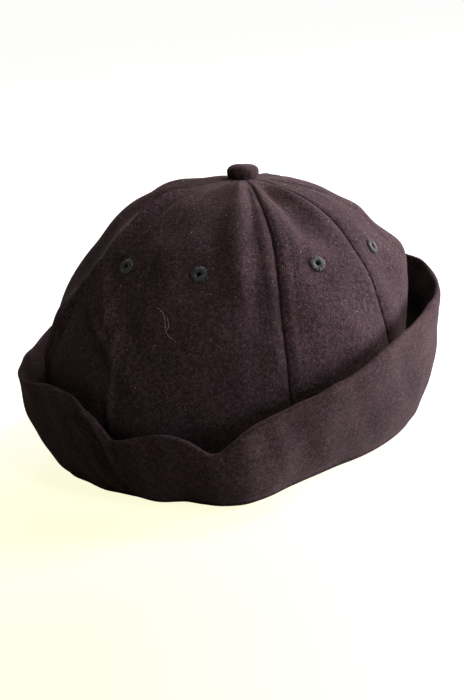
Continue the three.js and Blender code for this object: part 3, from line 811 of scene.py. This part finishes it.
def wool(name, dark, middle, pale, sheen=0.12):
    """Felted wool flannel: a soft uneven weave under the nap, mottled, with pale flecks."""
    material = bpy.data.materials.new(name)
    tree, shader = nodes_of(material)
    coordinates = tree.nodes.new("ShaderNodeTexCoord")
    place, cloth = coordinates.outputs["Object"], coordinates.outputs["UV"]
    weft = yarns(tree, cloth, YARN_ALONG, YARN_ACROSS, YARN_CONTRAST)
    warp = yarns(tree, cloth, YARN_ACROSS, YARN_ALONG, YARN_CONTRAST)
    weave = blend_colours(tree, 0.5, weft, warp)
    grain = noise(tree, place, GRAIN_SCALE, 3, 0.75)
    clumps = noise(tree, place, CLUMP_SCALE, 3, 0.7)
    patches = noise(tree, place, PATCH_SCALE, 3)
    base = ramp(tree, clumps, [(0.3, dark), (0.5, middle), (0.72, pale)])
    base = tinted(tree, base, ramp(tree, weave, WOVEN_TONES))
    base = tinted(tree, base, ramp(tree, patches, WORN_TONES))
    flecks = ramp(tree, grain, FLECKS)
    fleck_colour = tuple(FLECK_PALENESS * c for c in pale)
    base = blend_colours(tree, flecks, base, (*fleck_colour, 1))
    tree.links.new(base, shader.inputs["Base Color"])
    normal = bump(tree, weave, WEAVE_RELIEF, WOOL_RELIEF_DEPTH)
    normal = bump(tree, grain, GRAIN_RELIEF, WOOL_RELIEF_DEPTH, normal)
    tree.links.new(normal, shader.inputs["Normal"])
    shader.inputs["Roughness"].default_value = 0.95
    shader.inputs["Specular IOR Level"].default_value = 0.12
    shader.inputs["Sheen Weight"].default_value = sheen
    shader.inputs["Sheen Roughness"].default_value = 0.45
    shader.inputs["Sheen Tint"].default_value = SHEEN_TINT
    return material


def thread(name, dark, pale):
    """Cotton thread: fine twisted strands with a soft shine."""
    material = bpy.data.materials.new(name)
    tree, shader = nodes_of(material)
    place = tree.nodes.new("ShaderNodeTexCoord").outputs["Object"]
    strands = noise(tree, stretched(tree, place, (1, 1, 0.3), (0.4, 0.6, 0.2)), TWIST_SCALE, 2)
    patches = noise(tree, place, THREAD_PATCH_SCALE, 2)
    base = ramp(tree, strands, [(0.35, dark), (0.68, pale)])
    base = tinted(tree, base, ramp(tree, patches, THREAD_TONES))
    tree.links.new(base, shader.inputs["Base Color"])
    tree.links.new(bump(tree, strands, THREAD_RELIEF, THREAD_RELIEF_DEPTH), shader.inputs["Normal"])
    shader.inputs["Roughness"].default_value = 0.62
    shader.inputs["Sheen Weight"].default_value = 0.3
    return material


def crown_panel(panel, material):
    """One panel: its outer face, turned in at both seams, and its inner face, with the air hole open."""
    half = 0.5 * np.linspace(0, 1, PANEL_COLUMNS // 2 + 1) ** SEAM_CROWDING
    shares = np.concatenate([half, 1 - half[-2::-1]])
    levels = np.linspace(PANEL_TIP_LEVEL, level_at(LEG_HEIGHT + CLEARANCE), PANEL_ROWS)
    level, share = np.meshgrid(levels, shares, indexing="ij")
    outer, _ = panel_points(panel, share, level)
    inner, _ = panel_points(panel, share[:, ::-1], level, CROWN_WALL, sewn=False)
    loop = np.concatenate([outer, inner], 1)
    _, width = panel_span(panel, level)
    across = (share - 0.5) * np.radians(width) * CROWN_HALF_WIDTH * level
    along = np.interp(level, *arc_down(panel))
    flat = np.stack([across, along], -1)
    cloth = np.concatenate([flat, flat[:, ::-1]], 1) + panel * CLOTH_STEP
    faces = grid_faces(*loop.shape[:2], closed_across=True)
    centres = loop.reshape(-1, 3)[faces].mean(1)
    hole, facing, _ = eyelet_seat(panel)
    off = centres - hole
    aside = np.linalg.norm(off - (off @ facing)[:, None] * facing, axis=1)
    open_hole = (aside < HOLE_CUT_RADIUS) & (np.abs(off @ facing) < 3 * CROWN_WALL)
    piece = make_mesh(f"wool_panel_{panel + 1}", loop, faces[~open_hole], material, cloth)
    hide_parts(f"crown_panel_{panel + 1}")
    return outer


def eyelet_seat(panel):
    """The middle of an eyelet on the cloth, the way it faces, and an axis across it."""
    share = np.array([0, EYELET_STEP, -EYELET_STEP, 0, 0]) + EYELET_SHARES[panel]
    level = np.array([0, 0, 0, EYELET_STEP, -EYELET_STEP]) + EYELET_LEVEL
    points, _ = panel_points(panel, share, level, sewn=False)
    across = unit(points[1] - points[2])
    facing = unit(np.cross(points[3] - points[4], across))
    return points[0], facing, across


def ring_point(seat, angle, out, up):
    centre, facing, across = seat
    other = np.cross(facing, across)
    return centre + across * out * np.cos(angle) + other * out * np.sin(angle) + facing * up


def embroidered_eyelet(panel, material):
    """Thread wound through the hole and over a padded ring, on both faces of the cloth."""
    seat = eyelet_seat(panel)
    rng = np.random.default_rng(EYELET_SEED + panel)
    strands = Strands()
    steps = np.linspace(0, 1, 9)
    swell = np.sin(np.pi * np.clip(steps * 0.86 + 0.14, 0, 1)) ** 0.6
    barrel = np.linspace(-CROWN_WALL - 0.4, 0.7 * EYELET_RISE, 5)
    for k in range(EYELET_STRANDS):
        angle = 2 * np.pi * (k + rng.uniform(-THREAD_STRAY, THREAD_STRAY)) / EYELET_STRANDS
        out = mix(EYELET_BORE_RADIUS + 0.15, EYELET_RADIUS * rng.uniform(*THREAD_REACH), steps)
        turned = angle + rng.uniform(-THREAD_SLANT, THREAD_SLANT) * steps
        front = 0.1 + EYELET_RISE * rng.uniform(*THREAD_LIFT) * swell
        back = CROWN_WALL + 0.1 + THREAD_BACK_LIFT * EYELET_RISE * swell
        for height in (front, -back):
            line = [ring_point(seat, *spot) for spot in zip(turned, out, height)]
            strands.tube(line, EYELET_THREAD, 5)
        line = [ring_point(seat, angle, EYELET_BORE_RADIUS + 0.2, height) for height in barrel]
        strands.tube(line, EYELET_THREAD, 5)
    piece = strands.build(f"embroidered_eyelet_{panel + 1}", material, "eyelet_thread")
    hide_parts(f"eyelet_{panel + 1}")


def covered_button(material):
    """A domed button covered with wool, gathered towards its underside."""
    angle = np.linspace(0, 2 * np.pi, BUTTON_COLUMNS, endpoint=False)[:, None]
    t = np.linspace(0, 1, BUTTON_ROWS)[None]
    on_dome = t < BUTTON_DOME
    dome = np.clip(t / BUTTON_DOME, 0, 1) * np.pi / 2
    side = np.clip((t - BUTTON_DOME) / (1 - BUTTON_DOME), 0, 1)
    out = BUTTON_RADIUS * np.where(on_dome, np.sin(dome) ** 0.72, 1 - BUTTON_DRAW_IN * side**2)
    dome_height = mix(BUTTON_WAIST, 1, np.maximum(np.cos(dome), 0) ** 0.8)
    high = BUTTON_HEIGHT * np.where(on_dome, dome_height, BUTTON_WAIST * (1 - side))
    gather = smooth((t - 0.45) / 0.5)
    ruffle = np.sin(13 * angle) + 0.5 * np.sin(22 * angle + 1) + 0.4 * np.sin(7 * angle + 2)
    out = out - BUTTON_RUFFLE * gather * (1.2 - ruffle)
    dent = BUTTON_DENT * np.sin(3 * angle + 1) * np.sin(np.pi * np.clip(t / 0.8, 0, 1))
    high = high + dent - BUTTON_SEAT * smooth(side)
    points = np.stack([out * np.cos(angle), out * np.sin(angle), high], -1)
    tilt = np.radians(CROWN_TILT)
    lean = np.array([[np.cos(tilt), 0, np.sin(tilt)], [0, 1, 0], [-np.sin(tilt), 0, np.cos(tilt)]])
    points = points @ lean.T + np.array([CROWN_LEAN, 0, CROWN_HEIGHT]) + lean[:, 2] * CLEARANCE
    faces = grid_faces(BUTTON_COLUMNS, BUTTON_ROWS, closed_round=True)[:, ::-1]
    piece = make_mesh("wool_button", points, faces, material)
    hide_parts("top_button")


def rolled_cuff(material):
    """The doubled edge of the cap, folded at the rim and turned up, with its fine creases."""
    azimuth = np.linspace(-180, 180, CUFF_COLUMNS, endpoint=False)
    points, first, last = cuff_grid(azimuth)
    normal = grid_normals(points, True, True)
    rises = np.linspace(0, 1, last - first)
    fine = np.zeros(points.shape[:2])
    for crease in FINE_CUFF_CREASES:
        centre = mix(crease.low, crease.high, rises)[None]
        line = CUFF_FOLD_OUT * crease.out * hump(turn(azimuth[:, None] - centre), crease.width)
        ends = smooth(rises * FINE_CREASE_ENTRY) * smooth((1 - rises) * FINE_CREASE_EXIT)
        fine[:, first:last] += line * ends
    above = smooth((points[..., 2] - WAVE_FLOOR) / WAVE_FLOOR_SPAN)
    fine += CUFF_WAVE_SHARE * WAVE_RISE * cloth_waves(points, CUFF_WAVE_SEED) * above
    points = points + normal * (fine * OUTWARD)[..., None]
    steps = np.linalg.norm(np.diff(points, axis=1, append=points[:, :1]), axis=-1).mean(0)
    along = np.concatenate([[0], np.cumsum(steps)[:-1]])
    across = np.radians(np.abs(azimuth)) * RIM_HALF_WIDTH
    cloth = np.stack(np.broadcast_arrays(across[:, None], along[None]), -1)
    faces = grid_faces(*points.shape[:2], True, True)
    piece = make_mesh("wool_cuff", points, faces, material, cloth)
    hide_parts(*CUFF_NODES)
    seen = slice(first, last + NAP_INSIDE_POINTS)
    return points[:, seen], normal[:, seen] * OUTWARD


def seam_stitches(material):
    """The sunk stitches along both sides of each seam that shows at least STITCH_SHOW."""
    strands = Strands()
    for panel in range(len(SEAMS)):
        levels, arc = arc_down(panel)
        for down in np.arange(STITCH_START, arc[-1] - STITCH_STOP, STITCH_PITCH):
            run = np.interp(down + np.linspace(-0.5, 0.5, 4) * STITCH_LENGTH, arc, levels)
            if run[-1] > level_at(LEG_HEIGHT + STITCH_CLEAR):
                continue
            breadth = panel_breadth(panel, run)
            share = STITCH_PLACE * np.minimum(1, breadth / NARROW_PANEL) / breadth
            for place, side in ((share, 0), (1 - share, 1)):
                if nearest_seam(panel, side).show < STITCH_SHOW:
                    continue
                points, normal = panel_points(panel, place, run)
                strands.tube(points + normal * STITCH_LIFT, STITCH_RADIUS, 6)
    return strands.build("seam_stitches", material, "crown_wool")


def nap(name, grids, count, seed, material):
    """Short wool fibres that stand off the cloth. Grids are (points, normals) pairs, row by row."""
    rng = np.random.default_rng(seed)
    roots = []
    facings = []
    areas = []
    for points, _ in grids:
        across = np.linalg.norm(points[1:, :-1] - points[:-1, :-1], axis=-1)
        down = np.linalg.norm(points[:-1, 1:] - points[:-1, :-1], axis=-1)
        areas.append((across * down).ravel())
    total = sum(a.sum() for a in areas)
    for (points, normals), area in zip(grids, areas):
        chosen = rng.choice(len(area), int(count * area.sum() / total), p=area / area.sum())
        i, j = np.divmod(chosen, points.shape[1] - 1)
        u, v = rng.random((2, len(chosen), 1))
        upper = mix(points[i, j], points[i + 1, j], u)
        lower = mix(points[i, j + 1], points[i + 1, j + 1], u)
        roots.append(mix(upper, lower, v))
        facings.append(normals[i, j])
    root, facing = np.concatenate(roots), np.concatenate(facings)
    loose = rng.normal(size=root.shape)
    lying = unit(loose - (loose * facing).sum(-1, keepdims=True) * facing)
    length = rng.gamma(3.0, FIBRE_LENGTH / 3, (len(root), 1)).clip(*FIBRE_LIMITS)
    lift = rng.uniform(*FIBRE_LIFT, (len(root), 1))
    start = unit(facing * lift + lying * (1.1 - lift))
    end = unit(start + rng.normal(size=root.shape) * FIBRE_CURL)
    middle = root + start * length * 0.5
    tip = middle + end * length * 0.5
    side = unit(np.cross(start, facing + 0.3 * loose)) * FIBRE_WIDTH / 2
    points = np.stack([root - side, root + side, middle + side * 0.8, middle - side * 0.8, tip], 1)
    base = 5 * np.arange(len(root))[:, None]
    faces = np.concatenate([base + [0, 1, 2], base + [0, 2, 3], base + [3, 2, 4]])
    return make_mesh(name, points, faces, material)


def lint(outers, cuff, material):
    """Specks and short curls of pale lint caught in the wool, and one long stray hair."""
    rng = np.random.default_rng(77)
    strands = Strands()
    cuff_points, cuff_normals = cuff
    for _ in range(LINT_COUNT):
        if rng.random() < LINT_ON_CROWN:
            panel = rng.integers(len(SEAMS))
            share = np.array([rng.uniform(*LINT_SHARES)])
            level = np.array([rng.uniform(*LINT_LEVELS)])
            point, normal = (value[0] for value in panel_points(panel, share, level))
        else:
            i, j = rng.integers(cuff_points.shape[0]), rng.integers(*LINT_CUFF_ROWS)
            point, normal = cuff_points[i, j], cuff_normals[i, j]
        loose = rng.normal(size=3)
        lying = unit(loose - loose @ normal * normal)
        other = np.cross(normal, lying)
        size = rng.gamma(2.0, LINT_SPREAD) + LINT_LEAST
        bend = rng.uniform(-LINT_BEND, LINT_BEND)
        t = np.linspace(-0.5, 0.5, 5)[:, None]
        line = point + normal * (0.22 + 0.12 * rng.random()) + lying * t * size + other * bend * size * t**2
        strands.tube(line, rng.uniform(*LINT_RADIUS), 5)
    t = np.linspace(0, 1, 25)
    kernel = np.ones(5) / 5
    for hair, radius in ((LONG_HAIR, LONG_HAIR_RADIUS), (SHORT_HAIR, SHORT_HAIR_RADIUS)):
        place = np.linspace(0, 1, len(hair))
        azimuth = np.interp(t, place, [point.azimuth for point in hair])
        level = np.interp(t, place, [point.level for point in hair])
        azimuth, level = (np.convolve(np.pad(v, 2, "edge"), kernel, "valid") for v in (azimuth, level))
        left, width = panel_span(HAIR_PANEL, level)
        points, normal = panel_points(HAIR_PANEL, (azimuth - turn(left)) / width, level)
        strands.tube(points + normal * HAIR_LIFT, radius, 6)
    return strands.build("lint", material, "crown_wool")


def end_in_camera_mix(tree, unseen, seen, surface):
    """Ends a node tree: one shader is what lights the cap, the other is what the camera sees."""
    mixed = tree.nodes.new("ShaderNodeMixShader")
    tree.links.new(tree.nodes.new("ShaderNodeLightPath").outputs["Is Camera Ray"], mixed.inputs["Fac"])
    tree.links.new(unseen, mixed.inputs[1])
    tree.links.new(seen, mixed.inputs[2])
    tree.links.new(mixed.outputs["Shader"], surface)


def plain_floor():
    """A floor that glows for the camera alone: cream near the cap's left and front, white farther off."""
    material = bpy.data.materials.new("pale_floor")
    tree, shader = nodes_of(material)
    place = tree.nodes.new("ShaderNodeTexCoord").outputs["Object"]
    mapped = tree.nodes.new("ShaderNodeMapping")
    mapped.vector_type = "TEXTURE"
    mapped.inputs["Location"].default_value = CREAM_PLACE
    mapped.inputs["Rotation"].default_value = (0, 0, np.radians(CREAM_TURN))
    mapped.inputs["Scale"].default_value = CREAM_REACH
    tree.links.new(place, mapped.inputs["Vector"])
    fall = tree.nodes.new("ShaderNodeTexGradient")
    fall.gradient_type = "QUADRATIC_SPHERE"
    tree.links.new(mapped.outputs["Vector"], fall.inputs["Vector"])
    tone = ramp(tree, fall.outputs["Fac"], FLOOR_TONES)
    tone = tinted(tree, tone, ramp(tree, noise(tree, place, FLOOR_MOTTLE_SCALE, 3), FLOOR_MOTTLE))
    dull = tinted(tree, tone, (FLOOR_SHADE, FLOOR_SHADE, FLOOR_SHADE, 1))
    tree.links.new(dull, shader.inputs["Base Color"])
    seen = tree.nodes.new("ShaderNodeEmission")
    seen.inputs["Strength"].default_value = FLOOR_GLOW
    tree.links.new(tone, seen.inputs["Color"])
    both = tree.nodes.new("ShaderNodeAddShader")
    tree.links.new(shader.outputs["BSDF"], both.inputs[0])
    tree.links.new(seen.outputs["Emission"], both.inputs[1])
    surface = tree.nodes["Material Output"].inputs["Surface"]
    end_in_camera_mix(tree, shader.outputs["BSDF"], both.outputs["Shader"], surface)
    shader.inputs["Specular IOR Level"].default_value = 0.1
    shader.inputs["Roughness"].default_value = 0.9
    mesh = bpy.data.meshes.new("floor")
    far = FLOOR_REACH
    mesh.from_pydata([(-far, -far, 0), (far, -far, 0), (far, far, 0), (-far, far, 0)], [], [(0, 1, 2, 3)])
    mesh.materials.append(material)
    floor = put_in_scene("floor", mesh)


def soft_light(lamp):
    """A round lamp that faces the cap from its azimuth and elevation."""
    data = bpy.data.lights.new(lamp.name, "AREA")
    data.shape = "DISK"
    data.size = lamp.size
    data.energy = lamp.power
    data.color = lamp.colour
    azimuth, elevation = np.radians([lamp.azimuth, lamp.elevation])
    out = LAMP_REACH * np.cos(elevation)
    off = Vector((out * np.sin(azimuth), -out * np.cos(azimuth), LAMP_REACH * np.sin(elevation)))
    light = put_in_scene(lamp.name, data)
    light.location = Vector(LAMP_AIM) + off
    light.rotation_euler = (-off).to_track_quat("-Z", "Y").to_euler()


def studio():
    """A room that looks white and lights faintly, and soft lamps that light mostly from the right."""
    world = bpy.data.worlds.new("pale_room")
    bpy.context.scene.world = world
    world.use_nodes = True
    tree = world.node_tree
    room = tree.nodes["Background"]
    room.inputs["Color"].default_value = ROOM_COLOUR
    room.inputs["Strength"].default_value = ROOM_LIGHT
    seen = tree.nodes.new("ShaderNodeBackground")
    seen.inputs["Color"].default_value = SEEN_ROOM
    seen.inputs["Strength"].default_value = 1.0
    surface = tree.nodes["World Output"].inputs["Surface"]
    end_in_camera_mix(tree, room.outputs["Background"], seen.outputs["Background"], surface)
    for lamp in LAMPS:
        soft_light(lamp)
    bpy.context.scene.view_settings.view_transform = "Standard"


def photo_camera():
    azimuth, elevation, roll = np.radians([CAMERA_AZIMUTH, CAMERA_ELEVATION, CAMERA_ROLL])
    back = np.array([
        np.sin(azimuth) * np.cos(elevation), -np.cos(azimuth) * np.cos(elevation), np.sin(elevation),
    ])
    target = np.array(CAMERA_TARGET, float)
    place = target + back * CAMERA_DISTANCE
    right = unit(np.cross(-back, [0, 0, 1]))
    up = np.cross(right, -back)
    picture_right = right * np.cos(roll) - up * np.sin(roll)
    picture_up = right * np.sin(roll) + up * np.cos(roll)
    off = (np.array(PICTURE_MIDDLE) - np.array(TARGET_PIXEL)) / PICTURE_SCALE
    aim = target + picture_right * off[0] - picture_up * off[1]
    back = unit(place - aim)
    picture_right = unit(np.cross(picture_up, back))
    picture_up = np.cross(back, picture_right)
    camera = put_in_scene("camera", bpy.data.cameras.new("camera"))
    camera.data.sensor_width = SENSOR_WIDTH
    camera.data.lens = PICTURE_SCALE * CAMERA_DISTANCE / PICTURE_HEIGHT * camera.data.sensor_width
    turned = Matrix(np.stack([picture_right, picture_up, back], 1).tolist()).to_4x4()
    camera.matrix_world = Matrix.Translation(Vector((place + HOME) * MM)) @ turned
    bpy.context.scene.camera = camera


def cap_home():
    """What to add to the cap's own millimetres: its middle line stands a little off the frame's."""
    azimuth = np.linspace(-180, 180, HOME_COLUMNS, endpoint=False)
    points, _, _ = cuff_grid(azimuth)
    low, high = points.min((0, 1)), points.max((0, 1))
    corners = np.array([corner for node in CUFF_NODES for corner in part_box(node)])
    middle = (corners.min(0) + corners.max(0)) / 2 / MM
    return np.array([middle[0] - (low[0] + high[0]) / 2, middle[1] - (low[1] + high[1]) / 2, 0.0])


HOME = cap_home()


def build():
    crown_wool = wool(
        "crown_wool", dark=(0.014, 0.0092, 0.0115),
        middle=(0.032, 0.0218, 0.0255), pale=(0.062, 0.044, 0.05),
    )
    cuff_wool = wool(
        "cuff_wool", dark=(0.014, 0.0092, 0.011),
        middle=(0.033, 0.0222, 0.0255), pale=(0.064, 0.045, 0.05),
    )
    button_wool = wool(
        "button_wool", dark=(0.012, 0.008, 0.0095),
        middle=(0.028, 0.019, 0.0215), pale=(0.054, 0.038, 0.042),
    )
    nap_wool = wool(
        "nap_wool", dark=(0.02, 0.0135, 0.0165),
        middle=(0.04, 0.028, 0.033), pale=(0.08, 0.058, 0.066), sheen=0.1,
    )
    eyelet_thread = thread("eyelet_thread", dark=(0.01, 0.017, 0.019), pale=(0.036, 0.056, 0.06))
    # The stitch thread is the wool's colour darkened further. The extra darkness is painted shade for the
    # stitches sunk in their lines
    shade_darkened_thread = thread("shade_darkened_thread", dark=(0.006, 0.0042, 0.0055), pale=(0.017, 0.012, 0.0145))
    lint_fluff = thread("lint_fluff", dark=(0.3, 0.24, 0.17), pale=(0.62, 0.55, 0.44))
    outers = []
    for panel in range(len(SEAMS)):
        outer = crown_panel(panel, crown_wool)
        outers.append((outer, -grid_normals(outer, False, False)))
        embroidered_eyelet(panel, eyelet_thread)
    cuff = rolled_cuff(cuff_wool)
    covered_button(button_wool)
    seam_stitches(shade_darkened_thread)
    lint(outers, cuff, lint_fluff)
    nap("crown_nap", outers, CROWN_FIBRES, 21, nap_wool)
    nap("cuff_nap", [cuff], CUFF_FIBRES, 22, nap_wool)


build()
plain_floor()
studio()
photo_camera()
